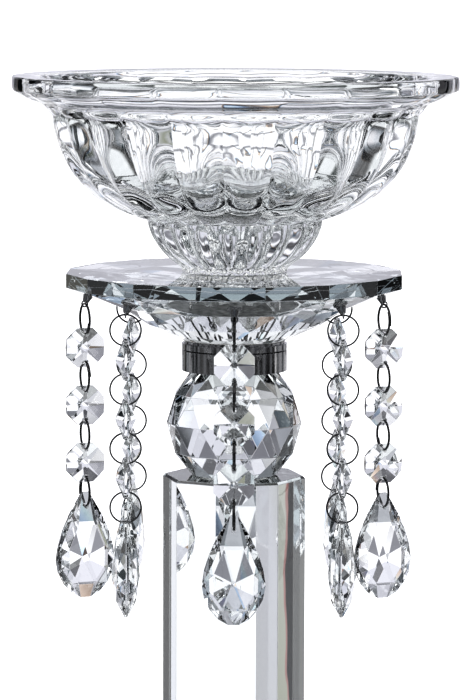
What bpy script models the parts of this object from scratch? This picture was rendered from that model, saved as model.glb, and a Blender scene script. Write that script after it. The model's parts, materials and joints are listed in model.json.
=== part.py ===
"""Crystal candlestick with a lobed glass bowl, hung with eight strands of octagon beads and teardrops.

Metres, +Z up, origin at the centre of the underside. The front of the object faces -Y. An azimuth is an
angle in degrees about Z, measured from the front and growing towards +X. A strand is modelled facing the
front, with the bore of its beads along Y, and is then turned about Z to the way that it faces.
"""

import math

import bmesh
import bpy
from mathutils import Matrix, Vector

MM = 0.001
GAP = 0.3 * MM  # left between glued or screwed faces

# Heights of the pieces in the stem, from the surface that the candlestick stands on
PAD_HEIGHT = 1.5 * MM
PLATE_HEIGHT = 24 * MM
COLLAR_HEIGHT = 10.8 * MM
COLUMN_HEIGHT = 130 * MM
BALL_HEIGHT = 37.1 * MM
BASE_Z = PAD_HEIGHT + GAP
LOWER_COLLAR_Z = BASE_Z + PLATE_HEIGHT + GAP
COLUMN_Z = LOWER_COLLAR_Z + COLLAR_HEIGHT + GAP
BALL_Z = COLUMN_Z + COLUMN_HEIGHT + GAP
UPPER_COLLAR_Z = BALL_Z + BALL_HEIGHT + GAP
BOBECHE_Z = UPPER_COLLAR_Z + COLLAR_HEIGHT + GAP
PLATE_TOP_Z = BOBECHE_Z + PLATE_HEIGHT
BOWL_Z = PLATE_TOP_Z + GAP

# Faceted plates: the bobeche under the bowl and, turned over, the base
PLATE_SIDES = 16
PLATE_RADIUS = 60.4 * MM
PLATE_EDGE = 5 * MM
PLATE_TURN = -1.3  # azimuth of the middle of the face nearest the front
PLATE_DOME = ((41.5 * MM, 12 * MM), (31 * MM, 18.5 * MM), (18.9 * MM, PLATE_HEIGHT))
PAD_RADIUS = 52 * MM

# Column, ball and collars
COLUMN_RADIUS = 25.7 * MM  # to a corner, at the top
COLUMN_FOOT_RADIUS = 24 * MM
COLUMN_TURN = -7.5  # azimuth of the corner nearest the front
COLUMN_CHAMFER = 0.9 * MM
BALL_RADIUS = 24.1 * MM
BALL_SIDES = 12
BALL_LATITUDES = (50.4, 26, 0, -26, -50.4)
COLLAR_RADIUS = 18.8 * MM
COLLAR_LIP_RADIUS = 18 * MM
COLLAR_SPLIT = 3.2 * MM  # height of the upper disc, its lip included
COLLAR_WALL = 1.2 * MM
STUD_RADIUS = 3 * MM
STUD_LENGTH = 9 * MM

# Bowl: radius at a lobe's crest, height above the foot, depth of the groove between two lobes
LOBES = 22
LOBE_STEPS = 4
LOBE_TURN = 4.3  # azimuth of the crest nearest the front
BOWL_OUTSIDE = (
    (18.7, 0, 0.4), (19.2, 1.4, 0.8), (25.3, 6.4, 1.3), (29.6, 12.5, 1.5), (31.2, 17.6, 1.4),
    (39.1, 21, 1.8), (48.7, 25.8, 2.6), (55.1, 31.5, 3), (60.5, 39, 3.2), (64, 48.5, 3), (64.9, 55.4, 2.6),
    (67.3, 58.2, 1.6), (69, 59.6, 1.1), (73.2, 61.1, 0.8), (78.4, 64, 0.7), (79.2, 64.8, 0.7),
    (79.2, 68.4, 0.7),
)
BOWL_INSIDE = (
    (78.4, 69.2, 0.7), (70, 68.8, 0), (67.6, 66, 0), (66.2, 62.4, 0), (64.2, 59.4, 0), (61.9, 56.9, 0),
    (60, 53.5, 0), (57.8, 47, 0), (51.5, 37.6, 0), (43, 31.4, 0), (33, 27.4, 0), (21.5, 25.4, 0),
    (20.5, 24.6, 0),
)

# Strands: name, azimuth of its hook, azimuth that its beads face
STRANDS = (
    ("front", 0, 0), ("front_right", 45, 85), ("right", 90, 20), ("back_right", 135, 95),
    ("back", 180, 180), ("back_left", -135, -95), ("left", -90, -160), ("front_left", -45, -85),
)
HOOK_SEAT = Vector((0, -51.7 * MM, -7.75 * MM))  # on the underside of the plate, from its top face
HOOK_TILT = 22  # degrees outwards from straight down
HOOK_FLANGE = (2.65 * MM, 0.7 * MM)  # radius, thickness
HOOK_CONE = (1.65 * MM, 0.75 * MM, 3.1 * MM)  # radius at each end, length with the flange
EYE_DROP = 4.2 * MM  # from the seat to the middle of the eye
EYE_RADIUS = 1.1 * MM
RING_RADIUS = 5.4 * MM
WIRE_RADIUS = 0.3 * MM
BEAD_FLATS = 14 * MM
BEAD_BORE = 4.92 * MM  # from the middle of the bead to each bore
BORE_RADIUS = 0.9 * MM
BEAD_THICKNESS = 7.4 * MM
BEAD_GIRDLE = 0.8 * MM  # thickness at the corners
LINKS = 3
LINK_PITCH = 2 * (RING_RADIUS + BEAD_BORE)
DROP_BORE = 5.1 * MM  # from the tip to the bore
DROP_OUTLINE = (
    (0, 1.3), (8, 6), (13.5, 8.5), (19.3, 10.3), (24.4, 11), (29, 10.2), (33.1, 8.1), (36.2, 5.3),
    (38.1, 1.9),
)  # distance below the tip, half width
DROP_LAYERS = ((1, 0.5), (0.62, 3.6), (0, 5))  # share of the outline, half thickness
DROP_MIDDLE = 23.9

GLASS = (0.93, 0.95, 0.95)
CRYSTAL = (0.96, 0.97, 0.98)
GUNMETAL = (0.09, 0.09, 0.1)
CLEAR_RUBBER = (0.78, 0.8, 0.8)


def clear_scene():
    for item in list(bpy.data.objects):
        bpy.data.objects.remove(item, do_unlink=True)


def make_collection(name):
    collection = bpy.data.collections.new(name)
    bpy.context.scene.collection.children.link(collection)
    return collection


def make_material(name, color, roughness, metallic=0.0, transmission=0.0):
    material = bpy.data.materials.new(name)
    material.use_nodes = True
    shader = material.node_tree.nodes["Principled BSDF"]
    shader.inputs["Base Color"].default_value = (*color, 1)
    shader.inputs["Roughness"].default_value = roughness
    shader.inputs["Metallic"].default_value = metallic
    shader.inputs["Transmission Weight"].default_value = transmission
    material.diffuse_color = (*color, 1)
    return material


def finish_mesh(name, bm, smooth_angle=0):
    """A mesh with its faces turned outwards; under smooth_angle, in degrees, its edges are shaded round."""
    bmesh.ops.recalc_face_normals(bm, faces=bm.faces)
    mesh = bpy.data.meshes.new(name)
    bm.to_mesh(mesh)
    bm.free()
    if smooth_angle:
        mesh.shade_smooth()
        mesh.set_sharp_from_angle(angle=math.radians(smooth_angle))
    return mesh


def add_object(name, mesh, material, collection, location=(0, 0, 0), turn=0):
    item = bpy.data.objects.new(name, mesh)
    if not mesh.materials:
        mesh.materials.append(material)
    item.location = location
    item.rotation_euler.z = math.radians(turn)
    collection.objects.link(item)
    return item


def ring_points(radius, z, sides, turn):
    """Corners of a level polygon whose first corner is at azimuth turn."""
    angles = [math.radians(turn + 360 * i / sides) for i in range(sides)]
    return [Vector((radius * math.sin(a), -radius * math.cos(a), z)) for a in angles]


def faceted_mesh(name, rings):
    """A closed solid from rings of corners of one count; corner i of a ring is before corner i of the next.

    A ring that is turned half a side from its neighbour is joined to it by triangles, and one that isn't
    by upright four-sided faces. The first and last rings are closed by flat faces.
    """
    bm = bmesh.new()
    loops = [[bm.verts.new(point) for point in points] for points, _ in rings]
    halves = [half for _, half in rings]
    count = len(loops[0])
    for upper, lower, half in zip(loops, loops[1:], halves[1:]):
        for i in range(count):
            j = (i + 1) % count
            if half:
                bm.faces.new((upper[i], upper[j], lower[i]))
                bm.faces.new((upper[j], lower[j], lower[i]))
            else:
                bm.faces.new((upper[i], upper[j], lower[j], lower[i]))
    bm.faces.new(loops[0])
    bm.faces.new(loops[-1])
    return finish_mesh(name, bm)


def plate_mesh(name, z, direction):
    """The faceted plate with its flat face at z and its dome on the side that direction, 1 or -1, gives."""
    half_side = 180 / PLATE_SIDES
    first = PLATE_TURN - half_side
    rings = [
        (ring_points(PLATE_RADIUS, z, PLATE_SIDES, first), False),
        (ring_points(PLATE_RADIUS, z + direction * PLATE_EDGE, PLATE_SIDES, first), False),
    ]
    for layer, (radius, depth) in enumerate(PLATE_DOME):
        turn = first + half_side * (layer + 1)
        rings.append((ring_points(radius, z + direction * depth, PLATE_SIDES, turn), True))
    return faceted_mesh(name, rings)


def ball_mesh():
    half_side = 180 / BALL_SIDES
    middle = BALL_Z + BALL_HEIGHT / 2
    rings = []
    for layer, latitude in enumerate(BALL_LATITUDES):
        angle = math.radians(latitude)
        radius = BALL_RADIUS * math.cos(angle)
        z = middle + BALL_RADIUS * math.sin(angle)
        rings.append((ring_points(radius, z, BALL_SIDES, half_side * layer), layer > 0))
    return faceted_mesh("ball", rings)


def column_mesh():
    bm = bmesh.new()
    bmesh.ops.create_cone(
        bm, cap_ends=True, segments=8,
        radius1=COLUMN_FOOT_RADIUS, radius2=COLUMN_RADIUS, depth=COLUMN_HEIGHT,
    )
    first = min(bm.verts, key=lambda v: (v.co.y, v.co.x))
    azimuth = math.atan2(first.co.x, -first.co.y)
    turn = Matrix.Rotation(math.radians(COLUMN_TURN) - azimuth, 3, "Z")
    bmesh.ops.rotate(bm, verts=bm.verts, cent=(0, 0, 0), matrix=turn)
    bmesh.ops.translate(bm, verts=bm.verts, vec=(0, 0, COLUMN_Z + COLUMN_HEIGHT / 2))
    ends = [e for e in bm.edges if abs(e.verts[0].co.z - e.verts[1].co.z) < COLUMN_CHAMFER]
    bmesh.ops.bevel(bm, geom=ends, offset=COLUMN_CHAMFER, segments=1, affect="EDGES")
    return finish_mesh("column", bm)


def turned(name, profile, material, collection, steps=32):
    """A solid turned about Z from (radius, z) points that run down the outer side, top to bottom."""
    bm = bmesh.new()
    corners = [bm.verts.new((radius, 0, z)) for radius, z in profile]
    for a, b in zip(corners, corners[1:]):
        bm.edges.new((a, b))
    if min(profile[0][0], profile[-1][0]) > 0:
        bm.edges.new((corners[-1], corners[0]))
    mesh = bpy.data.meshes.new(name)
    bm.to_mesh(mesh)
    bm.free()
    item = add_object(name, mesh, material, collection)
    screw = item.modifiers.new("turn", "SCREW")
    screw.steps = steps
    screw.render_steps = steps
    screw.use_merge_vertices = True
    screw.merge_threshold = 0.00001
    screw.use_smooth_shade = False
    return item


def make_collar(place, z, material, collection):
    """A screw joint in a metal drum: a disc above, a cup below, and the stud that draws them together."""
    split = z + COLLAR_HEIGHT - COLLAR_SPLIT
    top = z + COLLAR_HEIGHT
    hole = STUD_RADIUS + GAP
    lip = 1 * MM
    turned(f"{place}_collar_disc", (
        (hole, top), (COLLAR_LIP_RADIUS, top), (COLLAR_LIP_RADIUS, top - lip), (COLLAR_RADIUS, top - lip),
        (COLLAR_RADIUS, split), (hole, split),
    ), material, collection)
    floor = z + COLLAR_WALL
    inner = COLLAR_RADIUS - COLLAR_WALL
    rim = split - GAP
    boss = hole + COLLAR_WALL
    turned(f"{place}_collar_cup", (
        (0, floor), (hole, floor), (hole, rim), (boss, rim), (boss, floor), (inner, floor), (inner, rim),
        (COLLAR_RADIUS, rim), (COLLAR_RADIUS, z), (0, z),
    ), material, collection)
    low = floor + GAP
    turned(f"{place}_stud", (
        (0, low + STUD_LENGTH), (STUD_RADIUS, low + STUD_LENGTH), (STUD_RADIUS, low), (0, low),
    ), material, collection, steps=16)


def lobe_depth(azimuth):
    """0 at a lobe's crest and 1 in the groove between two lobes, for an azimuth in degrees."""
    pitch = 360 / LOBES
    across = ((azimuth - LOBE_TURN) / pitch + 0.5) % 1 - 0.5
    return 1 - math.cos(math.pi * across)


def bowl_mesh():
    """The bowl, turned from its profile and then drawn in between the lobes."""
    profile = ((0, 0, 0), *BOWL_OUTSIDE, *BOWL_INSIDE, (0, 24.6, 0))
    steps = LOBES * LOBE_STEPS
    start = math.radians(LOBE_TURN)
    bm = bmesh.new()
    grooves = {}
    corners = []
    for radius, z, groove in profile:
        co = Vector((radius * MM * math.sin(start), -radius * MM * math.cos(start), z * MM))
        corners.append(bm.verts.new(co))
        grooves[round(z, 3), round(radius, 3)] = groove
    edges = [bm.edges.new(pair) for pair in zip(corners, corners[1:])]
    bmesh.ops.spin(
        bm, geom=corners + edges, axis=(0, 0, 1), cent=(0, 0, 0), steps=steps, angle=2 * math.pi,
        use_merge=True, use_duplicate=False,
    )
    bmesh.ops.remove_doubles(bm, verts=bm.verts, dist=0.00001)
    for vert in bm.verts:
        radius = vert.co.xy.length
        groove = grooves[round(vert.co.z / MM, 3), round(radius / MM, 3)]
        if groove:
            azimuth = math.degrees(math.atan2(vert.co.x, -vert.co.y))
            share = 1 - groove * MM * lobe_depth(azimuth) / radius
            vert.co.x *= share
            vert.co.y *= share
    bmesh.ops.translate(bm, verts=bm.verts, vec=(0, 0, BOWL_Z))
    return finish_mesh("bowl", bm, smooth_angle=30)


def hull_mesh(name, points):
    """The solid with flat facets that fits tightly round the points."""
    bm = bmesh.new()
    for point in points:
        bm.verts.new(point)
    bmesh.ops.remove_doubles(bm, verts=bm.verts, dist=0.00001)
    made = bmesh.ops.convex_hull(bm, input=bm.verts)
    loose = [v for v in {*made["geom_interior"], *made["geom_unused"]} if isinstance(v, bmesh.types.BMVert)]
    bmesh.ops.delete(bm, geom=loose, context="VERTS")
    bmesh.ops.dissolve_limit(bm, angle_limit=math.radians(0.5), verts=bm.verts, edges=bm.edges)
    return finish_mesh(name, bm)


def bead_mesh(middle):
    """An octagon bead in the XZ plane with its middle at (0, 0, middle).

    Eight flat facets on each side meet at a point, and a crease runs from it to the middle of each flat.
    """
    flat = BEAD_FLATS / 2
    corner = flat / math.cos(math.pi / 8)
    peak = BEAD_THICKNESS / 2
    slope = (peak - BEAD_GIRDLE / 2) / corner
    edge = peak - slope * flat * math.cos(math.pi / 8)
    points = [(0, side * peak, middle) for side in (1, -1)]
    for step in range(16):
        radius, half_thickness = (corner, BEAD_GIRDLE / 2) if step % 2 else (flat, edge)
        angle = step * math.pi / 8
        for side in (1, -1):
            z = middle + radius * math.cos(angle)
            points.append((radius * math.sin(angle), side * half_thickness, z))
    return hull_mesh("bead", points)


def drop_mesh(tip):
    """A teardrop in the XZ plane that hangs down from its tip at (0, 0, tip)."""
    points = []
    for share, half_thickness in DROP_LAYERS:
        for depth, half_width in DROP_OUTLINE:
            z = tip - (DROP_MIDDLE + (depth - DROP_MIDDLE) * share) * MM
            for across in (1, -1):
                for side in (1, -1):
                    points.append((across * half_width * share * MM, side * half_thickness * MM, z))
    return hull_mesh("drop", points)


def torus_mesh(radius, wire, around, section, turn):
    """A ring about the X axis, turned about Z by turn degrees, with its middle at the origin."""
    bm = bmesh.new()
    bmesh.ops.create_circle(bm, segments=section, radius=wire)
    bmesh.ops.rotate(bm, verts=bm.verts, cent=(0, 0, 0), matrix=Matrix.Rotation(math.radians(90), 3, "Z"))
    bmesh.ops.translate(bm, verts=bm.verts, vec=(0, radius, 0))
    bmesh.ops.spin(
        bm, geom=bm.verts[:] + bm.edges[:], axis=(1, 0, 0), cent=(0, 0, 0), steps=around,
        angle=2 * math.pi, use_merge=True, use_duplicate=False,
    )
    bmesh.ops.remove_doubles(bm, verts=bm.verts, dist=0.00001)
    bmesh.ops.rotate(bm, verts=bm.verts, cent=(0, 0, 0), matrix=Matrix.Rotation(math.radians(turn), 3, "Z"))
    return finish_mesh("ring", bm, smooth_angle=60)


def move_mesh(mesh, offset):
    mesh.transform(Matrix.Translation(offset))
    return mesh


def combined(name, first, steps, helpers):
    """The mesh first with each (operation, mesh) of steps applied to it by a Boolean, as a new mesh."""
    item = bpy.data.objects.new(name, first)
    helpers.objects.link(item)
    item.hide_render = True
    for operation, mesh in steps:
        cutter = bpy.data.objects.new(f"{name}_{operation.lower()}", mesh)
        cutter.hide_render = True
        cutter.display_type = "WIRE"
        helpers.objects.link(cutter)
        boolean = item.modifiers.new(operation.lower(), "BOOLEAN")
        boolean.operation = operation
        boolean.object = cutter
    graph = bpy.context.evaluated_depsgraph_get()
    mesh = bpy.data.meshes.new_from_object(item.evaluated_get(graph))
    mesh.name = name
    for used in list(helpers.objects):
        bpy.data.objects.remove(used, do_unlink=True)
    return mesh


def bore_mesh(z):
    """A cutter for a bore along Y at height z."""
    bm = bmesh.new()
    bmesh.ops.create_cone(
        bm, cap_ends=True, segments=8, radius1=BORE_RADIUS, radius2=BORE_RADIUS, depth=BEAD_FLATS
    )
    bmesh.ops.rotate(bm, verts=bm.verts, cent=(0, 0, 0), matrix=Matrix.Rotation(math.radians(90), 3, "X"))
    bmesh.ops.translate(bm, verts=bm.verts, vec=(0, 0, z))
    return finish_mesh("bore", bm)


def ring_mesh():
    """A strand's ring in the YZ plane, with its top at the origin."""
    return move_mesh(torus_mesh(RING_RADIUS, WIRE_RADIUS, 14, 5, 0), (0, 0, -RING_RADIUS))


def link_mesh(helpers):
    """A ring whose top is at the origin, with the bead that hangs on it."""
    bead = -LINK_PITCH + BEAD_BORE
    steps = (("DIFFERENCE", bore_mesh(bead - BEAD_BORE)), ("UNION", ring_mesh()))
    return combined("link", bead_mesh(bead), steps, helpers)


def hung_drop_mesh(helpers):
    """A ring whose top is at the origin, with the teardrop that hangs on it."""
    tip = -2 * RING_RADIUS + DROP_BORE
    return combined("hung_drop", drop_mesh(tip), (("UNION", ring_mesh()),), helpers)


def hook_mesh(eye_turn, helpers):
    """A bell cap with its eye: the seat is at the origin, and it leans out towards -Y."""
    bm = bmesh.new()
    down = Matrix.Rotation(math.radians(180 - HOOK_TILT), 3, "X")
    flange_radius, flange_height = HOOK_FLANGE
    seat_radius, tip_radius, length = HOOK_CONE
    bmesh.ops.create_cone(
        bm, cap_ends=True, segments=12, radius1=flange_radius, radius2=flange_radius, depth=flange_height,
    )
    bmesh.ops.translate(bm, verts=bm.verts, vec=(0, 0, GAP + flange_height / 2))
    bmesh.ops.rotate(bm, verts=bm.verts, cent=(0, 0, 0), matrix=down)
    flange = finish_mesh("flange", bm, smooth_angle=40)
    bm = bmesh.new()
    bmesh.ops.create_cone(
        bm, cap_ends=True, segments=12, radius1=seat_radius, radius2=tip_radius,
        depth=length - flange_height / 2,
    )
    bmesh.ops.translate(bm, verts=bm.verts, vec=(0, 0, GAP + length / 2 + flange_height / 4))
    bmesh.ops.rotate(bm, verts=bm.verts, cent=(0, 0, 0), matrix=down)
    cone = finish_mesh("cone", bm, smooth_angle=40)
    eye = torus_mesh(EYE_RADIUS, WIRE_RADIUS, 10, 5, 90 + eye_turn)
    move_mesh(eye, down @ Vector((0, 0, EYE_DROP)))
    return combined("hook", flange, (("UNION", cone), ("UNION", eye)), helpers)


def strand_top():
    """Where the first ring passes through the eye, on a strand at the front."""
    lean = math.radians(HOOK_TILT)
    reach = Vector((0, -EYE_DROP * math.sin(lean), -EYE_DROP * math.cos(lean)))
    return HOOK_SEAT + reach + Vector((0, 0, PLATE_TOP_Z))


def make_strands(crystal, gunmetal, parts, helpers):
    top = strand_top()
    top_hung = link_mesh(helpers)
    middle_hung = move_mesh(top_hung.copy(), (0, 0, RING_RADIUS))
    drop = hung_drop_mesh(helpers)
    for name, azimuth, facing in STRANDS:
        around = Matrix.Rotation(math.radians(azimuth), 3, "Z")
        seat = around @ (HOOK_SEAT + Vector((0, 0, PLATE_TOP_Z)))
        add_object(f"{name}_hook", hook_mesh(facing - azimuth, helpers), gunmetal, parts, seat, azimuth)
        place = around @ top
        for number in range(1, LINKS + 1):
            swings_about_ring = number % 2 == 1
            mesh = middle_hung if swings_about_ring else top_hung
            offset = Vector((0, 0, -RING_RADIUS if swings_about_ring else 0))
            add_object(f"{name}_link_{number}", mesh, crystal, parts, place + offset, facing)
            place = place - Vector((0, 0, LINK_PITCH))
        add_object(f"{name}_drop", drop, crystal, parts, place, facing)


def make_pad(material, collection):
    bm = bmesh.new()
    bmesh.ops.create_cone(
        bm, cap_ends=True, segments=48, radius1=PAD_RADIUS, radius2=PAD_RADIUS, depth=PAD_HEIGHT
    )
    bmesh.ops.translate(bm, verts=bm.verts, vec=(0, 0, PAD_HEIGHT / 2))
    add_object("base_pad", finish_mesh("base_pad", bm, smooth_angle=40), material, collection)


def main():
    clear_scene()
    parts = make_collection("candlestick")
    helpers = make_collection("helpers")
    helpers.hide_render = True
    glass = make_material("bowl_glass", GLASS, 0.02, transmission=1)
    crystal = make_material("crystal", CRYSTAL, 0.01, transmission=1)
    gunmetal = make_material("gunmetal", GUNMETAL, 0.18, metallic=1)
    rubber = make_material("clear_rubber", CLEAR_RUBBER, 0.5)

    make_pad(rubber, parts)
    add_object("base", plate_mesh("base", BASE_Z, 1), crystal, parts)
    make_collar("lower", LOWER_COLLAR_Z, gunmetal, parts)
    add_object("column", column_mesh(), crystal, parts)
    add_object("ball", ball_mesh(), crystal, parts)
    make_collar("upper", UPPER_COLLAR_Z, gunmetal, parts)
    add_object("bobeche", plate_mesh("bobeche", PLATE_TOP_Z, -1), crystal, parts)
    add_object("bowl", bowl_mesh(), glass, parts)
    make_strands(crystal, gunmetal, parts, helpers)


main()
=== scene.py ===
"""The look of the crystal candlestick: pressed glass, cut crystal and black nickel in a bright studio.

Metres, +Z up, the front towards -Y. An azimuth is an angle in degrees about Z, growing towards +X. It is
measured from the front on the object, and from the back in the studio. Every piece is built where the frame's
node or joint that it belongs to lies.
"""

import json
import math

import bmesh
import bpy
from mathutils import Matrix, Vector


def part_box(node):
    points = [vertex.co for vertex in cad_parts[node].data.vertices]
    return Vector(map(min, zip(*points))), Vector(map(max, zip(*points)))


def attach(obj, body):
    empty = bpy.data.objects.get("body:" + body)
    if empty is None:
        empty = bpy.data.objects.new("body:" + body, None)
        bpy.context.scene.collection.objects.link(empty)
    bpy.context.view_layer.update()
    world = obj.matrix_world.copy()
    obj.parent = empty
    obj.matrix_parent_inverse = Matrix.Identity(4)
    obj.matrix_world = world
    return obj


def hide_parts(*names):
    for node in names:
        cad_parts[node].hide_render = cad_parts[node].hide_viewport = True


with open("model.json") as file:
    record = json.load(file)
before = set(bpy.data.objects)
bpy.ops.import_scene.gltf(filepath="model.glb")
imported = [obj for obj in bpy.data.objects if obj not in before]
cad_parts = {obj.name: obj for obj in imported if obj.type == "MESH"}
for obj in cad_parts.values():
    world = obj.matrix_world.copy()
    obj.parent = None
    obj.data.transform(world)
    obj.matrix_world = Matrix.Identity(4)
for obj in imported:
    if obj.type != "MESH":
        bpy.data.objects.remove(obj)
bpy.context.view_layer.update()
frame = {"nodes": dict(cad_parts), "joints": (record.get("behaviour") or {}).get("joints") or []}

MM = 0.001
JOINTS = {joint["name"]: joint for joint in frame["joints"]}
STAND = "stand"
STRANDS = ("front", "front_right", "right", "back_right", "back", "back_left", "left", "front_left")
LINKS = 3

# Bowl: radius at a lobe's crest, height above the foot, depth of the groove between two lobes, in mm.
# A corner is left between one stretch and the next.
LOBES = 22
LOBE_TURN = 4.3
BOWL_FOOT = (
    (18.7, 0, 0.5), (19.2, 1.4, 1.2), (22.2, 3.7, 1.9), (25.3, 6.4, 2.4), (29.6, 12.5, 2.8),
    (31.1, 17.0, 2.4), (31.2, 18.2, 1.7),
)
BOWL_WALL = (
    (31.2, 18.2, 1.7), (33.1, 18.9, 1.7), (39.1, 21, 2), (48.7, 25.8, 2.6), (55.1, 31.5, 3),
    (60.5, 39, 3.2), (64, 48.5, 3), (64.9, 53.5, 2.8), (65, 55.4, 2.6),
)
BOWL_COVE = (
    (65, 55.4, 2.6), (66.5, 56.6, 1.9), (67.5, 58.2, 1.5), (69.1, 59.6, 1.1), (73.2, 61.1, 0.8),
    (78.3, 63.9, 0.7),
)
BOWL_RIM = (
    (78.3, 63.9, 0.7), (78.9, 64.2, 0.8), (79.2, 64.9, 0.9), (79.2, 68.3, 0.9), (79, 68.9, 0.8),
    (78.4, 69.2, 0.7),
)
BOWL_INSIDE = (
    (78.4, 69.2, 0.7), (74.5, 69.1, 0.3), (70.4, 68.9, 0), (69, 68.2, 0), (67.6, 66, 0), (66.2, 62.4, 0),
    (64.2, 59.4, 0), (61.9, 56.9, 0), (60, 53.5, 0), (57.8, 47, 0), (51.5, 37.6, 0), (43, 31.4, 0),
    (33, 27.4, 0), (22.5, 25, 0), (19, 24.6, 0),
)
PROFILE_STEPS = 4  # points on the smooth profile for each of these
LOBE_STEPS = 14

# Faceted plates, ball and column
PLATE_SIDES = 16
PLATE_TURN = -1.3
PLATE_EDGE = 5 * MM
PLATE_DOME = ((41.5 * MM, 12 * MM), (31 * MM, 18.5 * MM))
BALL_SIDES = 12
BALL_LATITUDES = (50.4, 26, 0, -26, -50.4)
COLUMN_TURN = -7.5
COLUMN_CHAMFER = 0.9 * MM
POLISHED_EDGE = 0.15 * MM
PLATE_SEAT_MARGIN = 0.1 * MM  # the dome's flat is this much wider than the collar, all round

# Collars, studs, glue and pad
COLLAR_WALL = 1.2 * MM
LIP_HEIGHT = 1 * MM
LIP_RECESS = 0.8 * MM
STUD_CLEARANCE = 0.3 * MM
THREAD_PITCH = 0.8 * MM
THREAD_DEPTH = 0.35 * MM
GLUE_RECESS = 1 * MM
GLUE_FLARE = 0.1 * MM
GLUE_WETS = 0.03 * MM
PAD_ROUNDING = 0.4 * MM
PAD_CORNER = 0.12 * MM  # how far the pad's rounding stands in from its corner, halfway round
TURNED_STEPS = 96
SMALL_TURNED_STEPS = 32

# Strands
RING_RADIUS = 5.4 * MM
RING_WIRE = 0.3 * MM
RING_TURNS = 2.15
RING_LEAD = 2.1 * RING_WIRE * RING_TURNS / 2
RING_START_PER_STRAND = 37  # degrees, so that no two cut ends lie alike
RING_START_PER_LINK = 71
BEAD_FLATS = 14 * MM
BEAD_THICKNESS = 7.4 * MM
BEAD_GIRDLE = 0.8 * MM
BEAD_BORE = 4.92 * MM
BORE_RADIUS = 0.75 * MM
BORE_SIDES = 20
STONE_EDGE = 0.06 * MM
LINK_PITCH = 2 * (RING_RADIUS + BEAD_BORE)
DROP_BORE = 5.1 * MM
DROP_PEAK_DEPTH = 23.9  # mm below the top, like the outline's depths
DROP_PEAK = 5 * MM
DROP_GIRDLE = 0.55 * MM
DROP_INNER = 3.5 * MM
DROP_INNER_SHARE = 0.72  # how far out the inner corners lie, from the peak to the outline
# Depth below the top and half the width, in mm
DROP_OUTLINE = (
    (0, 1.3), (8, 6), (13.5, 8.5), (19.3, 10.3), (24.4, 11), (29, 10.2), (33.1, 8.1), (36.2, 5.3),
    (38.1, 1.9),
)

# Hooks: a bell cap that leans outwards, its profile as radius and distance from its seat in mm, and its eye
HOOK_LEAN = 22
HOOK_LENGTH = 3.9 * MM
HOOK_PROFILE = (
    (0, 0), (2.55, 0), (2.65, 0.2), (2.5, 0.5), (2.0, 0.62), (1.85, 0.85), (1.6, 1.6), (1.3, 2.6),
    (1.1, 3.2), (0.85, 3.45), (0, 3.5),
)
EYE_RADIUS = 1.1 * MM
EYE_WIRE = 0.28 * MM
EYE_TURNS = 0.97

# Light crosses many faces inside the crystals. A total reflection counts as a glossy bounce, and a path that
# is cut short ends black
LIGHT_BOUNCES = 40
GLOSSY_BOUNCES = 6

# How fast a depth of glass takes on its colour, per metre
DEPTH_DENSITY = 20.0

# Camera
CAMERA_SIDE = -0.0003
CAMERA_DISTANCE = 1.3
CAMERA_ABOVE_PLATE = 0.1182
CAMERA_PITCH = 6.42
CAMERA_ROLL = 0.17
FOCAL_LENGTH = 188.8
FLOOR_RADIUS = 12

# Studio. Colour of the surroundings by azimuth in degrees, 0 in the middle of the back
SIDES = (
    (-180, (0.44, 0.49, 0.52)), (-164, (0.44, 0.49, 0.52)), (-160, (0.05, 0.05, 0.05)),
    (-124, (0.2, 0.2, 0.2)), (-116, (0.24, 0.24, 0.24)), (-104, (0.3, 0.3, 0.3)), (-98, (0.04, 0.04, 0.04)),
    (-76, (0.05, 0.06, 0.065)), (-73, (1, 1, 1.02)), (-62, (1, 1, 1.02)), (-60, (0.1, 0.2, 0.22)),
    (-58, (0.06, 0.07, 0.075)), (-43, (0.06, 0.07, 0.075)), (-42.2, (0.5, 0.3, 0.25)),
    (-41.4, (0.52, 0.52, 0.46)), (-34.5, (0.56, 0.56, 0.61)), (-33.8, (0.31, 0.32, 0.26)),
    (-32.6, (0.31, 0.32, 0.26)), (-31.8, (0.7, 0.7, 0.75)), (-30.2, (0.8, 0.8, 0.83)),
    (-29.6, (0.25, 0.25, 0.26)), (-28.4, (0.25, 0.25, 0.26)), (-27.6, (0.97, 0.97, 1)),
    (41.6, (0.95, 0.95, 0.98)), (42.2, (0.4, 0.47, 0.7)), (42.9, (0.08, 0.085, 0.09)),
    (52, (0.05, 0.05, 0.05)), (54, (0.8, 0.8, 0.82)), (64, (0.9, 0.9, 0.92)), (66, (0.05, 0.05, 0.05)),
    (160, (0.1, 0.1, 0.1)), (164, (0.44, 0.49, 0.52)),
)
# How much of that shows at each elevation, and what is added there
HEIGHTS = (
    (-90, (0, 0, 0)), (-50, (0, 0, 0)), (-36, (0.1, 0.1, 0.1)), (-30, (0.3, 0.32, 0.34)),
    (-26, (0.7, 0.7, 0.72)), (-21, (1, 1, 1)), (-16, (1, 1, 1)), (-15.2, (0.3, 0.3, 0.32)),
    (-13.8, (0.3, 0.3, 0.32)), (-13, (1, 1, 1)), (-5.5, (1, 1, 1)), (-3, (0.72, 0.72, 0.76)),
    (11.5, (0.64, 0.64, 0.68)), (12.5, (0.25, 0.25, 0.27)), (14.5, (0.25, 0.25, 0.27)),
    (15.5, (0.9, 0.9, 0.92)), (16.5, (0.9, 0.9, 0.92)), (17.5, (0.12, 0.12, 0.13)),
    (20.5, (0.12, 0.12, 0.13)), (21.5, (0.9, 0.9, 0.92)), (24, (0.9, 0.9, 0.92)), (25, (0.3, 0.3, 0.32)),
    (26.5, (0.3, 0.3, 0.32)), (27.5, (0.85, 0.85, 0.88)), (31, (0.5, 0.5, 0.54)), (34, (0.15, 0.15, 0.16)),
    (46, (0.05, 0.05, 0.05)), (50, (0, 0, 0)), (90, (0, 0, 0)),
)
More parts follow.
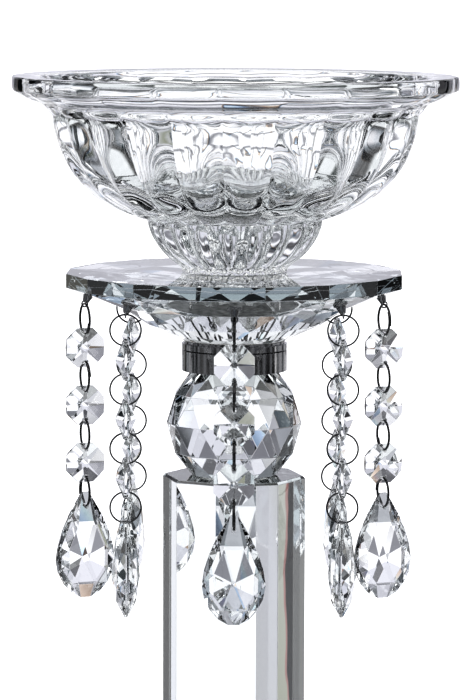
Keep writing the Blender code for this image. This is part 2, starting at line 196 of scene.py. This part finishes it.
ABOVE = (
    (-90, (0.75, 0.76, 0.77)), (-66, (0.75, 0.76, 0.77)), (-63, (0.1, 0.11, 0.11)),
    (-56, (0.1, 0.11, 0.11)), (-54, (0.7, 0.72, 0.74)), (-42, (0.7, 0.72, 0.74)), (-39, (0.05, 0.05, 0.05)),
    (-33, (0, 0, 0)), (33, (0, 0, 0)), (37, (0.1, 0.11, 0.12)), (44, (0.3, 0.32, 0.34)),
    (47, (0.1, 0.11, 0.11)), (51, (0.85, 0.85, 0.88)), (58, (0.9, 0.9, 0.92)), (61.5, (0.6, 0.6, 0.62)),
    (63.5, (0.05, 0.05, 0.05)), (68.5, (0.05, 0.05, 0.05)), (70, (1, 1, 1)), (90, (1, 1, 1)),
)
STUDIO_STRENGTH = 0.94
# Bands across the surroundings, in radians of a wave: how fast they come per degree of azimuth and elevation,
# how far the noise bends them, and the colour fringe at their edges
BAND_AZIMUTH = 0.42
BAND_ELEVATION = 0.22
BAND_BEND = 14.0
BAND_FRINGE = 0.045
BAND_NOISE = 1.7
BAND_BRIGHT = (0.82, 0.84, 0.87)
# Where the bands are: the azimuth of a window's middle, half its width and its soft edge
WIDE_BANDS = ((100, 54, 6), (-102, 56, 6))
THIN_BANDS = (0, 42, 4)
# The height on the wave at which a band turns dark, how softly, and how dark
WIDE_WAVE = (0.25, 0.12)
THIN_WAVE = (-0.94, 0.045, 0.25)
# The elevations that the column shows, without bands
PLAIN_MIDDLE = -10.2
PLAIN_HALF = 2.2
PLAIN_SOFT = 1
# A dark flag in those elevations, with a reddish edge. Azimuth at their middle, half its width and soft edge,
# all in degrees, and colour, and then how far it leans per degree of elevation
STRIPES = (
    (-32.75, 0.268, 0.012, (0.34, 0.2, 0.19)),
    (-32.75, 0.25, 0.012, (0.015, 0.015, 0.017)),
)
STRIPE_LEAN = 0.1424
# Soft boxes: azimuth, elevation, half their sizes, all in degrees, and colour
SOFT_EDGE = 2.5
SOFT_BOXES = (
    (77, 0, 1.2, 30, (2.5, 2.5, 2.5)),
    (-138, 34, 20, 16, (1.4, 1.4, 1.42)),
    (132, 38, 16, 14, (1.2, 1.2, 1.2)),
)


def smooth_curve(points, steps):
    """Points on a centripetal spline through the given points, with the ends kept."""
    points = [Vector(p) for p in points]
    padded = [2 * points[0] - points[1], *points, 2 * points[-1] - points[-2]]
    found = []
    for a, b, c, d in zip(padded, padded[1:], padded[2:], padded[3:]):
        knots = [0.0]
        for p, q in ((a, b), (b, c), (c, d)):
            knots.append(knots[-1] + max((q - p).length, 1e-9) ** 0.5)
        for step in range(steps):
            t = knots[1] + (knots[2] - knots[1]) * step / steps
            row = [a, b, c, d]
            for level in (1, 2, 3):
                row = [
                    row[i].lerp(row[i + 1], (t - knots[i]) / (knots[i + level] - knots[i]))
                    for i in range(len(row) - 1)
                ]
            found.append(row[0])
    found.append(points[-1])
    return found


def make_piece(name, bm, material, body, nodes, smooth=0, bevel=0):
    """An object of the finished mesh bm that rides on a body and stands for CAD nodes."""
    bmesh.ops.recalc_face_normals(bm, faces=bm.faces)
    mesh = bpy.data.meshes.new(name)
    bm.to_mesh(mesh)
    bm.free()
    mesh.materials.append(material)
    piece = bpy.data.objects.new(name, mesh)
    bpy.context.scene.collection.objects.link(piece)
    if smooth:
        mesh.shade_smooth()
        mesh.set_sharp_from_angle(angle=math.radians(smooth))
    if bevel:
        rounding = piece.modifiers.new("edges", "BEVEL")
        rounding.width = bevel
        rounding.segments = 2
        rounding.limit_method = "ANGLE"
        rounding.angle_limit = math.radians(8)
        rounding.harden_normals = True
    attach(piece, body)
    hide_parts(*nodes)
    return piece


# Materials


class Nodes:
    """A material's node tree, with short calls for adding nodes and links."""

    def __init__(self, name):
        self.material = bpy.data.materials.new(name)
        self.material.use_nodes = True
        self.tree = self.material.node_tree
        self.shader = self.tree.nodes["Principled BSDF"]
        self.place = self.add("ShaderNodeTexCoord").outputs["Object"]

    def add(self, kind, links=None, **settings):
        node = self.tree.nodes.new(kind)
        for key, value in settings.items():
            setattr(node, key, value)
        for key, value in (links or {}).items():
            if isinstance(value, bpy.types.NodeSocket):
                self.tree.links.new(value, node.inputs[key])
            else:
                node.inputs[key].default_value = value
        return node

    def noise(self, scale, detail=2.0, stretch=(1, 1, 1)):
        mapped = self.add("ShaderNodeMapping", {"Vector": self.place, "Scale": stretch})
        made = self.add("ShaderNodeTexNoise", {"Vector": mapped.outputs[0], "Scale": scale, "Detail": detail})
        return made.outputs["Fac"]

    def spread(self, value, low, high, bottom=0.3, top=0.7):
        """value, from bottom to top, as a number from low to high."""
        made = self.add("ShaderNodeMapRange", {
            "Value": value, "From Min": bottom, "From Max": top, "To Min": low, "To Max": high,
        })
        return made.outputs[0]

    def bump(self, height, distance, strength=1.0, normal=None):
        links = {"Height": height, "Distance": distance, "Strength": strength}
        if normal is not None:
            links["Normal"] = normal
        return self.add("ShaderNodeBump", links).outputs[0]

    def put(self, **sockets):
        for key, value in sockets.items():
            name = key.replace("_", " ").title().replace("Ior", "IOR")
            if isinstance(value, bpy.types.NodeSocket):
                self.tree.links.new(value, self.shader.inputs[name])
            else:
                self.shader.inputs[name].default_value = value


def glass_material(name, color, depth_color, ior, ripple_scale, ripple_height, haze):
    """Clear glass that darkens with depth, with faint ripples and a trace of haze in its polish."""
    nodes = Nodes(name)
    inside = nodes.add("ShaderNodeVolumeAbsorption", {"Color": (*depth_color, 1), "Density": DEPTH_DENSITY})
    nodes.tree.links.new(inside.outputs[0], nodes.tree.nodes["Material Output"].inputs["Volume"])
    nodes.put(base_color=(*color, 1), ior=ior, transmission_weight=1.0)
    wipes = nodes.noise(60, 4, (1, 1, 0.3))
    nodes.put(roughness=nodes.spread(wipes, 0.0, haze))
    nodes.put(normal=nodes.bump(nodes.noise(ripple_scale), ripple_height))
    return nodes.material


def nickel_material(name, dark, bright):
    """Black nickel over brass, polished with fine turning marks and worn a little brighter in places."""
    nodes = Nodes(name)
    marks = nodes.noise(900, 3, (0.05, 0.05, 1))
    cloud = nodes.noise(140, 4)
    ramp = nodes.add("ShaderNodeValToRGB", {"Fac": cloud})
    ramp.color_ramp.elements[0].position = 0.3
    ramp.color_ramp.elements[0].color = (dark, dark, dark * 1.03, 1)
    ramp.color_ramp.elements[1].position = 0.75
    ramp.color_ramp.elements[1].color = (bright, bright, bright * 1.02, 1)
    nodes.put(base_color=ramp.outputs["Color"], metallic=1.0)
    nodes.put(roughness=nodes.spread(cloud, 0.1, 0.18))
    nodes.put(normal=nodes.bump(marks, 0.00001, 0.4))
    return nodes.material


def glue_material():
    """Silvery glue with pressed-out cells."""
    nodes = Nodes("silvery_glue")
    cells = nodes.add("ShaderNodeTexVoronoi", {"Vector": nodes.place, "Scale": 420.0}).outputs["Distance"]
    cloud = nodes.noise(170, 5)
    mixed = nodes.add("ShaderNodeMath", {0: cells, 1: cloud}, operation="MULTIPLY").outputs[0]
    ramp = nodes.add("ShaderNodeValToRGB", {"Fac": mixed})
    ramp.color_ramp.elements[0].position = 0.08
    ramp.color_ramp.elements[0].color = (0.22, 0.22, 0.21, 1)
    ramp.color_ramp.elements[1].position = 0.42
    ramp.color_ramp.elements[1].color = (0.72, 0.72, 0.70, 1)
    nodes.put(base_color=ramp.outputs["Color"], metallic=0.35, roughness=nodes.spread(cloud, 0.3, 0.55))
    nodes.put(normal=nodes.bump(cells, 0.0001, 0.6))
    return nodes.material


def rubber_material():
    """Clear rubber with a fine grain, cloudy in places."""
    nodes = Nodes("clear_rubber_pad")
    grain = nodes.noise(1500, 3)
    cloud = nodes.noise(60, 3)
    ramp = nodes.add("ShaderNodeValToRGB", {"Fac": cloud})
    ramp.color_ramp.elements[0].color = (0.70, 0.72, 0.72, 1)
    ramp.color_ramp.elements[1].color = (0.84, 0.86, 0.86, 1)
    nodes.put(base_color=ramp.outputs["Color"])
    nodes.put(roughness=nodes.spread(cloud, 0.42, 0.6))
    nodes.put(normal=nodes.bump(grain, 0.00004, 0.5))
    return nodes.material


# Stem


def ring_points(radius, z, sides, turn):
    """The corners of a level polygon, from the azimuth turn on."""
    angles = [math.radians(turn + 360 * i / sides) for i in range(sides)]
    return [Vector((radius * math.sin(a), -radius * math.cos(a), z)) for a in angles]


def facet_rings(rings):
    """A closed solid from (points, turned half a side) rings: triangles where it's turned, else quads."""
    bm = bmesh.new()
    loops = [[bm.verts.new(point) for point in points] for points, _ in rings]
    count = len(loops[0])
    for upper, lower, (_, half) in zip(loops, loops[1:], rings[1:]):
        for i in range(count):
            j = (i + 1) % count
            if half:
                bm.faces.new((upper[i], upper[j], lower[i]))
                bm.faces.new((upper[j], lower[j], lower[i]))
            else:
                bm.faces.new((upper[i], upper[j], lower[j], lower[i]))
    bm.faces.new(loops[0])
    bm.faces.new(loops[-1])
    return bm


def make_crystal(node, rings, crystal):
    make_piece(f"{node}_crystal", facet_rings(rings), crystal, STAND, [node], bevel=POLISHED_EDGE)


def make_plate(node, direction, crystal):
    """The bobeche, whose dome is below its flat face (direction -1), or the base, whose dome is above it."""
    low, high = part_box(node)
    flat = high.z if direction < 0 else low.z
    height = high.z - low.z
    half_side = 180 / PLATE_SIDES
    radius = plate_radius()
    first = PLATE_TURN - half_side
    rings = [
        (ring_points(radius, flat, PLATE_SIDES, first), False),
        (ring_points(radius, flat + direction * PLATE_EDGE, PLATE_SIDES, first), False),
    ]
    for layer, (inner, depth) in enumerate((*PLATE_DOME, (collar_radius() + PLATE_SEAT_MARGIN, height))):
        turn = first + half_side * (layer + 1)
        rings.append((ring_points(inner, flat + direction * depth, PLATE_SIDES, turn), True))
    make_crystal(node, rings, crystal)


def plate_radius():
    """The radius at the plate's corners."""
    mesh = frame["nodes"]["bobeche"].data
    return max(vert.co.xy.length for vert in mesh.vertices)


def collar_radius():
    low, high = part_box("upper_collar_cup")
    return (high.x - low.x) / 2


def make_ball(crystal):
    """The ball, as rings of triangles between flat ends."""
    low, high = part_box("ball")
    middle = (low.z + high.z) / 2
    radius = (high.x - low.x) / 2
    half_side = 180 / BALL_SIDES
    rings = []
    for layer, latitude in enumerate(BALL_LATITUDES):
        angle = math.radians(latitude)
        points = ring_points(
            radius * math.cos(angle), middle + radius * math.sin(angle), BALL_SIDES, half_side * layer
        )
        rings.append((points, layer > 0))
    make_crystal("ball", rings, crystal)


def make_column(crystal):
    """The octagonal column, tapered to its foot, with chamfered ends."""
    low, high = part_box("column")
    mesh = frame["nodes"]["column"].data
    foot = max(v.co.xy.length for v in mesh.vertices)
    top = max(v.co.xy.length for v in mesh.vertices if v.co.z > (low.z + high.z) / 2)
    rings = []
    for radius, z in (
        (top - COLUMN_CHAMFER, high.z), (top, high.z - COLUMN_CHAMFER),
        (foot, low.z + COLUMN_CHAMFER), (foot - COLUMN_CHAMFER, low.z),
    ):
        rings.append((ring_points(radius, z, 8, COLUMN_TURN), False))
    make_crystal("column", rings, crystal)


def turned_mesh(profile, steps, closed=False):
    """A mesh turned about Z from (radius, z) points; closed joins the last point to the first."""
    bm = bmesh.new()
    verts = [bm.verts.new((radius, 0, z)) for radius, z in profile]
    edges = [bm.edges.new(pair) for pair in zip(verts, verts[1:])]
    if closed:
        edges.append(bm.edges.new((verts[-1], verts[0])))
    bmesh.ops.spin(
        bm, geom=verts + edges, axis=(0, 0, 1), cent=(0, 0, 0), steps=steps, angle=2 * math.pi,
        use_merge=True, use_duplicate=False,
    )
    bmesh.ops.remove_doubles(bm, verts=bm.verts, dist=0.000002)
    return bm


def make_collar(place, gunmetal, glue):
    """A collar's disc with its recessed lip, its cup with the boss round the stud, the stud and the glue."""
    low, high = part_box(f"{place}_collar_disc")
    radius = (high.x - low.x) / 2
    _, stud_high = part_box(f"{place}_stud")
    stud_radius = stud_high.x
    hole = stud_radius + STUD_CLEARANCE
    lip = radius - LIP_RECESS
    disc = (
        (hole, high.z), (lip, high.z), (lip, high.z - LIP_HEIGHT), (radius, high.z - LIP_HEIGHT),
        (radius, low.z), (hole, low.z),
    )
    bm = turned_mesh(disc, TURNED_STEPS, True)
    make_piece(f"{place}_disc", bm, gunmetal, STAND, [f"{place}_collar_disc"], 40, POLISHED_EDGE)
    low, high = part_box(f"{place}_collar_cup")
    floor = low.z + COLLAR_WALL
    inner = radius - COLLAR_WALL
    boss = hole + COLLAR_WALL
    cup = (
        (0, floor), (hole, floor), (hole, high.z), (boss, high.z), (boss, floor), (inner, floor),
        (inner, high.z), (radius, high.z), (radius, low.z), (0, low.z),
    )
    bm = turned_mesh(cup, TURNED_STEPS)
    make_piece(f"{place}_cup", bm, gunmetal, STAND, [f"{place}_collar_cup"], 40, POLISHED_EDGE)
    make_stud(place, stud_radius, gunmetal)
    make_glue(place, glue)


def make_glue(place, glue):
    """The silvery glue that bonds the collar's disc to the crystal above it, wetting the crystal."""
    low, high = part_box(f"{place}_collar_disc")
    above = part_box("bobeche" if place == "upper" else "column")[0].z
    lip = (high.x - low.x) / 2 - GLUE_RECESS
    top = above + GLUE_WETS
    profile = ((0, top), (lip, top), (lip + GLUE_FLARE, high.z), (0, high.z))
    bm = turned_mesh(profile, TURNED_STEPS)
    make_piece(f"{place}_glue", bm, glue, STAND, [f"{place}_collar_disc"], smooth=40)


def make_stud(place, radius, gunmetal):
    """A stud with a rolled thread."""
    low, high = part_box(f"{place}_stud")
    count = int((high.z - low.z) / THREAD_PITCH)
    step = (high.z - low.z) / count
    profile = [(0, high.z)]
    for i in range(count):
        z = high.z - i * step
        profile += [(radius - THREAD_DEPTH, z), (radius, z - step / 2)]
    profile += [(radius - THREAD_DEPTH, low.z), (0, low.z)]
    bm = turned_mesh(profile, SMALL_TURNED_STEPS)
    make_piece(f"{place}_thread", bm, gunmetal, STAND, [f"{place}_stud"], 30)


def make_pad(rubber):
    low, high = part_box("base_pad")
    radius = high.x
    rounded = radius - PAD_ROUNDING
    corner = radius - PAD_CORNER
    profile = (
        (0, high.z), (rounded, high.z), (corner, high.z - PAD_CORNER), (radius, high.z - PAD_ROUNDING),
        (radius, low.z + PAD_ROUNDING), (corner, low.z + PAD_CORNER), (rounded, low.z), (0, low.z),
    )
    make_piece("pad", turned_mesh(profile, TURNED_STEPS), rubber, STAND, ["base_pad"], 40)


def lobe_depth(azimuth):
    """How much of the groove's depth shows at an azimuth: 0 on a lobe's crest, 1 between two lobes."""
    pitch = 360 / LOBES
    across = ((azimuth - LOBE_TURN) / pitch + 0.5) % 1 - 0.5
    return 1 - math.cos(math.pi * across)


def make_bowl(glass):
    """The bowl, from a smooth profile drawn in between the lobes."""
    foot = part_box("bowl")[0].z
    outline = []
    for stretch in (BOWL_FOOT, BOWL_WALL, BOWL_COVE, BOWL_RIM, BOWL_INSIDE):
        outline += smooth_curve(stretch, PROFILE_STEPS)[:-1]
    outline.append(Vector(BOWL_INSIDE[-1]))
    steps = LOBES * LOBE_STEPS
    bm = bmesh.new()
    loops = []
    for radius, z, groove in outline:
        loop = []
        for i in range(steps):
            azimuth = LOBE_TURN + 360 * i / steps
            r = (radius - max(groove, 0) * lobe_depth(azimuth)) * MM
            a = math.radians(azimuth)
            loop.append(bm.verts.new((r * math.sin(a), -r * math.cos(a), foot + max(z, 0) * MM)))
        loops.append(loop)
    for a, b in zip(loops, loops[1:]):
        for i in range(steps):
            j = (i + 1) % steps
            bm.faces.new((a[i], a[j], b[j], b[i]))
    bm.faces.new(loops[0])
    bm.faces.new(loops[-1])
    make_piece("bowl_lobed", bm, glass, STAND, ["bowl"], smooth=32)


# Strands


def hull(points):
    """The convex solid round some points, its coplanar triangles joined into facets."""
    bm = bmesh.new()
    for point in points:
        bm.verts.new(point)
    bmesh.ops.remove_doubles(bm, verts=bm.verts, dist=0.000002)
    made = bmesh.ops.convex_hull(bm, input=bm.verts)
    loose = [v for v in {*made["geom_interior"], *made["geom_unused"]} if isinstance(v, bmesh.types.BMVert)]
    bmesh.ops.delete(bm, geom=loose, context="VERTS")
    bmesh.ops.dissolve_limit(bm, angle_limit=math.radians(0.5), verts=bm.verts, edges=bm.edges)
    return bm


def drilled(bm, bores):
    """The solid bm with bores along Y at the given heights, as a new bmesh."""
    holder = bpy.data.meshes.new("drilled")
    bm.to_mesh(holder)
    bm.free()
    item = bpy.data.objects.new("drilled", holder)
    bpy.context.scene.collection.objects.link(item)
    cutters = []
    for z in bores:
        cut = bmesh.new()
        bmesh.ops.create_cone(
            cut, cap_ends=True, segments=BORE_SIDES, depth=BEAD_FLATS,
            radius1=BORE_RADIUS, radius2=BORE_RADIUS,
            matrix=Matrix.Translation((0, 0, z)) @ Matrix.Rotation(math.radians(90), 4, "X"),
        )
        mesh = bpy.data.meshes.new("bore")
        cut.to_mesh(mesh)
        cut.free()
        cutter = bpy.data.objects.new("bore", mesh)
        bpy.context.scene.collection.objects.link(cutter)
        cutters.append(cutter)
        boolean = item.modifiers.new("bore", "BOOLEAN")
        boolean.object = cutter
    graph = bpy.context.evaluated_depsgraph_get()
    made = bmesh.new()
    made.from_object(item, graph)
    for used in (item, *cutters):
        bpy.data.objects.remove(used, do_unlink=True)
    return made


def bead_points():
    """Corners of an octagon bead about the origin, in the XZ plane, each crease from its peak to a flat."""
    flat = BEAD_FLATS / 2
    corner = flat / math.cos(math.pi / 8)
    peak = BEAD_THICKNESS / 2
    slope = (peak - BEAD_GIRDLE / 2) / corner
    edge = peak - slope * flat * math.cos(math.pi / 8)
    points = [(0, side * peak, 0) for side in (1, -1)]
    for step in range(16):
        radius, half = (corner, BEAD_GIRDLE / 2) if step % 2 else (flat, edge)
        angle = step * math.pi / 8
        points += [(radius * math.sin(angle), side * half, radius * math.cos(angle)) for side in (1, -1)]
    return points


def drop_points():
    """Corners of a teardrop in the XZ plane, its bore at the origin, with a star of facets on each side."""
    points = []
    for side in (1, -1):
        points.append((0, side * DROP_PEAK, DROP_BORE - DROP_PEAK_DEPTH * MM))
        for depth, half in DROP_OUTLINE:
            for across in (1, -1):
                points.append((across * half * MM, side * DROP_GIRDLE, DROP_BORE - depth * MM))
        for (d0, h0), (d1, h1) in zip(DROP_OUTLINE[::2], DROP_OUTLINE[2::2]):
            depth = DROP_PEAK_DEPTH + ((d0 + d1) / 2 - DROP_PEAK_DEPTH) * DROP_INNER_SHARE
            half = (h0 + h1) / 2 * DROP_INNER_SHARE
            for across in (1, -1):
                points.append((across * half * MM, side * DROP_INNER, DROP_BORE - depth * MM))
    return points


def split_ring(bm, radius, wire, turns, lead, start, section=8):
    """A coil of wire about the X axis, round the origin, with flat cut ends."""
    steps = int(turns * 40)
    loops = []
    for i in range(steps + 1):
        angle = math.radians(start) + 2 * math.pi * turns * i / steps
        out = Vector((0, math.cos(angle), math.sin(angle)))
        centre = out * radius + Vector((lead * (i / steps - 0.5), 0, 0))
        loop = []
        for j in range(section):
            b = 2 * math.pi * j / section
            loop.append(bm.verts.new(centre + out * wire * math.cos(b) + Vector((wire * math.sin(b), 0, 0))))
        loops.append(loop)
    for a, b in zip(loops, loops[1:]):
        for i in range(section):
            j = (i + 1) % section
            bm.faces.new((a[i], a[j], b[j], b[i]))
    bm.faces.new(loops[0])
    bm.faces.new(loops[-1])
    return bm


def facing_of(strand):
    """Azimuth in radians that the beads of a strand face, from the axis that its second link turns about."""
    axis = Vector(JOINTS[f"{strand}_link_2_swing"]["axis"])
    return math.atan2(axis.x, -axis.y)


def make_strand(strand, index, crystal, wire):
    """Each link's split ring with its bead, and the last ring with the teardrop."""
    facing = facing_of(strand)
    turn = Matrix.Rotation(facing, 4, "Z")
    ring_middle = Vector(JOINTS[f"{strand}_link_1_swing"]["pos_m"])
    for number in range(1, LINKS + 2):
        is_drop = number > LINKS
        body = f"{strand}_drop" if is_drop else f"{strand}_link_{number}"
        bm = bmesh.new()
        start = RING_START_PER_STRAND * index + RING_START_PER_LINK * number
        split_ring(bm, RING_RADIUS, RING_WIRE, RING_TURNS, RING_LEAD, start)
        ring = make_piece(f"{strand}_ring_{number}", bm, wire, body, [body], smooth=50)
        ring.data.transform(Matrix.Translation(ring_middle) @ turn)
        if is_drop:
            bm = drilled(hull(drop_points()), [0])
            place = ring_middle - Vector((0, 0, RING_RADIUS))
        else:
            bm = drilled(hull(bead_points()), [BEAD_BORE, -BEAD_BORE])
            place = ring_middle - Vector((0, 0, RING_RADIUS + BEAD_BORE))
        name = f"{strand}_teardrop" if is_drop else f"{strand}_bead_{number}"
        stone = make_piece(name, bm, crystal, body, [body], bevel=STONE_EDGE)
        stone.data.transform(Matrix.Translation(place) @ turn)
        ring_middle = ring_middle - Vector((0, 0, LINK_PITCH))


def make_hook(strand, gunmetal):
    """A bell cap turned from its profile, and the eye that it ends in."""
    node = f"{strand}_hook"
    eye_middle = Vector(JOINTS[f"{strand}_link_1_swing"]["pos_m"]) + Vector((0, 0, RING_RADIUS))
    out = eye_middle.xy.normalized()
    lean = math.radians(HOOK_LEAN)
    down = Vector((out.x * math.sin(lean), out.y * math.sin(lean), -math.cos(lean)))
    seat = eye_middle - down * HOOK_LENGTH
    bm = turned_mesh([(r * MM, z * MM) for r, z in HOOK_PROFILE], SMALL_TURNED_STEPS)
    lean_over = down.to_track_quat("Z", "Y").to_matrix().to_4x4()
    bmesh.ops.transform(bm, verts=bm.verts, matrix=Matrix.Translation(seat) @ lean_over)
    make_piece(f"{strand}_bell_cap", bm, gunmetal, STAND, [node], smooth=50)
    eye = bmesh.new()
    split_ring(eye, EYE_RADIUS, EYE_WIRE, EYE_TURNS, 0.0, 90)
    turn = Matrix.Rotation(facing_of(strand) + math.pi / 2, 4, "Z")
    bmesh.ops.transform(eye, verts=eye.verts, matrix=Matrix.Translation(eye_middle) @ turn)
    make_piece(f"{strand}_eye", eye, gunmetal, STAND, [node], smooth=50)


# Studio


def make_camera():
    """The photograph's viewing angle, from its distance."""
    plate_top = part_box("bobeche")[1].z
    data = bpy.data.cameras.new("camera")
    data.lens = FOCAL_LENGTH
    data.clip_start = 0.01
    data.clip_end = 50
    camera = bpy.data.objects.new("camera", data)
    camera.location = (CAMERA_SIDE, -CAMERA_DISTANCE, plate_top + CAMERA_ABOVE_PLATE)
    pitch = Matrix.Rotation(math.radians(90 - CAMERA_PITCH), 4, "X")
    roll = Matrix.Rotation(math.radians(CAMERA_ROLL), 4, "Z")
    camera.rotation_euler = (pitch @ roll).to_euler()
    bpy.context.scene.collection.objects.link(camera)
    bpy.context.scene.camera = camera


def make_floor():
    """A wide white sweep. Glass and metal are shown the studio's surroundings instead of it."""
    bm = bmesh.new()
    bmesh.ops.create_circle(bm, cap_ends=True, segments=96, radius=FLOOR_RADIUS)
    mesh = bpy.data.meshes.new("floor")
    bm.to_mesh(mesh)
    bm.free()
    nodes = Nodes("white_floor")
    nodes.put(base_color=(0.8, 0.8, 0.81, 1), roughness=0.6)
    nodes.put(emission_color=(1, 1, 1, 1), emission_strength=0.75)
    mesh.materials.append(nodes.material)
    floor = bpy.data.objects.new("floor", mesh)
    floor.visible_glossy = False
    floor.visible_transmission = False
    bpy.context.scene.collection.objects.link(floor)


class WorldNodes:
    """The world's node tree, with short calls for arithmetic on the direction that a ray leaves in."""

    def __init__(self):
        world = bpy.data.worlds.new("studio")
        bpy.context.scene.world = world
        world.use_nodes = True
        self.tree = world.node_tree
        self.background = self.tree.nodes["Background"]
        split = self.tree.nodes.new("ShaderNodeSeparateXYZ")
        self.direction = self.tree.nodes.new("ShaderNodeTexCoord").outputs["Generated"]
        self.tree.links.new(self.direction, split.inputs[0])
        x, y, z = split.outputs
        self.azimuth = self.math("MULTIPLY", self.math("ARCTAN2", x, y), 180 / math.pi)
        self.elevation = self.math("MULTIPLY", self.math("ARCSINE", z), 180 / math.pi)

    def math(self, operation, a, b=0.0):
        node = self.tree.nodes.new("ShaderNodeMath")
        node.operation = operation
        for socket, value in zip(node.inputs, (a, b)):
            if isinstance(value, bpy.types.NodeSocket):
                self.tree.links.new(value, socket)
            else:
                socket.default_value = value
        return node.outputs[0]

    def ramp(self, value, stops):
        """A colour for each value, between (value, colour) stops."""
        low, high = stops[0][0], stops[-1][0]
        share = self.math("DIVIDE", self.math("SUBTRACT", value, low), high - low)
        node = self.tree.nodes.new("ShaderNodeValToRGB")
        self.tree.links.new(share, node.inputs[0])
        elements = node.color_ramp.elements
        for i, (place, color) in enumerate(stops):
            share_here = (place - low) / (high - low)
            stop = elements[i] if i < 2 else elements.new(share_here)
            stop.position = share_here
            stop.color = (*color, 1)
        return node.outputs["Color"]

    def bands(self, middle, soft, dark=0.0):
        """Wavy bands as a colour, white where the wave is over its middle and dark under it."""
        noise = self.tree.nodes.new("ShaderNodeTexNoise")
        noise.inputs["Scale"].default_value = BAND_NOISE
        noise.inputs["Detail"].default_value = 1.0
        self.tree.links.new(self.direction, noise.inputs["Vector"])
        wave = self.math("MULTIPLY", noise.outputs["Fac"], BAND_BEND)
        wave = self.math("ADD", wave, self.math("MULTIPLY", self.azimuth, BAND_AZIMUTH))
        wave = self.math("ADD", wave, self.math("MULTIPLY", self.elevation, BAND_ELEVATION))
        join = self.tree.nodes.new("ShaderNodeCombineColor")
        for channel, shift in enumerate((-BAND_FRINGE, 0.0, BAND_FRINGE)):
            node = self.tree.nodes.new("ShaderNodeMapRange")
            self.tree.links.new(self.math("SINE", self.math("ADD", wave, shift)), node.inputs["Value"])
            node.inputs["From Min"].default_value = middle - soft
            node.inputs["From Max"].default_value = middle + soft
            node.inputs["To Min"].default_value = dark
            self.tree.links.new(node.outputs[0], join.inputs[channel])
        return join.outputs[0]

    def window(self, value, middle, half, soft):
        """1 within half of the middle, falling to 0 over the soft edge."""
        node = self.tree.nodes.new("ShaderNodeMapRange")
        node.interpolation_type = "SMOOTHSTEP"
        away = self.math("ABSOLUTE", self.math("SUBTRACT", value, middle))
        self.tree.links.new(away, node.inputs["Value"])
        for name, number in (("From Min", half), ("From Max", half + soft), ("To Min", 1.0), ("To Max", 0.0)):
            node.inputs[name].default_value = number
        return node.outputs[0]

    def mix(self, factor, a, b, blend="MIX"):
        node = self.tree.nodes.new("ShaderNodeMix")
        node.data_type = "RGBA"
        node.blend_type = blend
        for name, value in (("Factor", factor), ("A", a), ("B", b)):
            if isinstance(value, bpy.types.NodeSocket):
                self.tree.links.new(value, node.inputs[name])
            else:
                node.inputs[name].default_value = value
        return node.outputs["Result"]


def make_world():
    """A white backdrop with thin bands behind the object, wide bands beside it, soft boxes and dark flags."""
    world = WorldNodes()
    shade = world.ramp(world.azimuth, SIDES)
    plain = world.window(world.elevation, PLAIN_MIDDLE, PLAIN_HALF, PLAIN_SOFT)
    banded = world.math("SUBTRACT", 1.0, plain)
    right, left = (world.window(world.azimuth, *place) for place in WIDE_BANDS)
    beside = world.math("MULTIPLY", banded, world.math("MAXIMUM", right, left))
    shade = world.mix(beside, shade, world.mix(world.bands(*WIDE_WAVE), shade, (*BAND_BRIGHT, 1)))
    behind = world.math("MULTIPLY", banded, world.window(world.azimuth, *THIN_BANDS))
    shade = world.mix(behind, shade, world.bands(*THIN_WAVE), "MULTIPLY")
    shade = world.mix(1, shade, world.ramp(world.elevation, HEIGHTS), "MULTIPLY")
    shade = world.mix(1, shade, world.ramp(world.elevation, ABOVE), "ADD")
    lean = world.math("MULTIPLY", world.math("SUBTRACT", world.elevation, PLAIN_MIDDLE), STRIPE_LEAN)
    leaning = world.math("SUBTRACT", world.azimuth, lean)
    for azimuth, half, soft, color in STRIPES:
        across = world.window(leaning, azimuth, half, soft)
        shade = world.mix(world.math("MULTIPLY", across, plain), shade, (*color, 1))
    for azimuth, elevation, half_azimuth, half_elevation, color in SOFT_BOXES:
        across = world.window(world.azimuth, azimuth, half_azimuth, SOFT_EDGE)
        upward = world.window(world.elevation, elevation, half_elevation, SOFT_EDGE)
        shade = world.mix(world.math("MULTIPLY", across, upward), shade, (*color, 1))
    camera_sees = world.tree.nodes.new("ShaderNodeLightPath").outputs["Is Camera Ray"]
    shade = world.mix(camera_sees, shade, (1, 1, 1, 1))
    world.tree.links.new(shade, world.background.inputs["Color"])
    world.background.inputs["Strength"].default_value = STUDIO_STRENGTH


def allow_long_light_paths():
    cycles = bpy.context.scene.cycles
    cycles.max_bounces = LIGHT_BOUNCES
    cycles.transmission_bounces = LIGHT_BOUNCES
    cycles.glossy_bounces = GLOSSY_BOUNCES


def main():
    view = bpy.context.scene.view_settings
    view.view_transform = "Standard"
    view.look = "High Contrast"
    allow_long_light_paths()
    make_camera()
    make_floor()
    make_world()
    glass = glass_material(
        "pressed_glass", (0.985, 0.99, 0.99), (0.93, 0.938, 0.938),
        ior=1.51, ripple_scale=38, ripple_height=0.04 * MM, haze=0.01,
    )
    crystal = glass_material(
        "cut_crystal", (0.98, 0.985, 0.985), (0.925, 0.938, 0.941),
        ior=1.56, ripple_scale=30, ripple_height=0.01 * MM, haze=0.006,
    )
    gunmetal = nickel_material("black_nickel", 0.16, 0.28)
    wire = nickel_material("blackened_wire", 0.05, 0.1)
    glue = glue_material()
    rubber = rubber_material()
    make_bowl(glass)
    make_plate("bobeche", -1, crystal)
    make_plate("base", 1, crystal)
    make_ball(crystal)
    make_column(crystal)
    make_collar("upper", gunmetal, glue)
    make_collar("lower", gunmetal, glue)
    make_pad(rubber)
    for index, strand in enumerate(STRANDS):
        make_hook(strand, gunmetal)
        make_strand(strand, index, crystal, wire)


main()
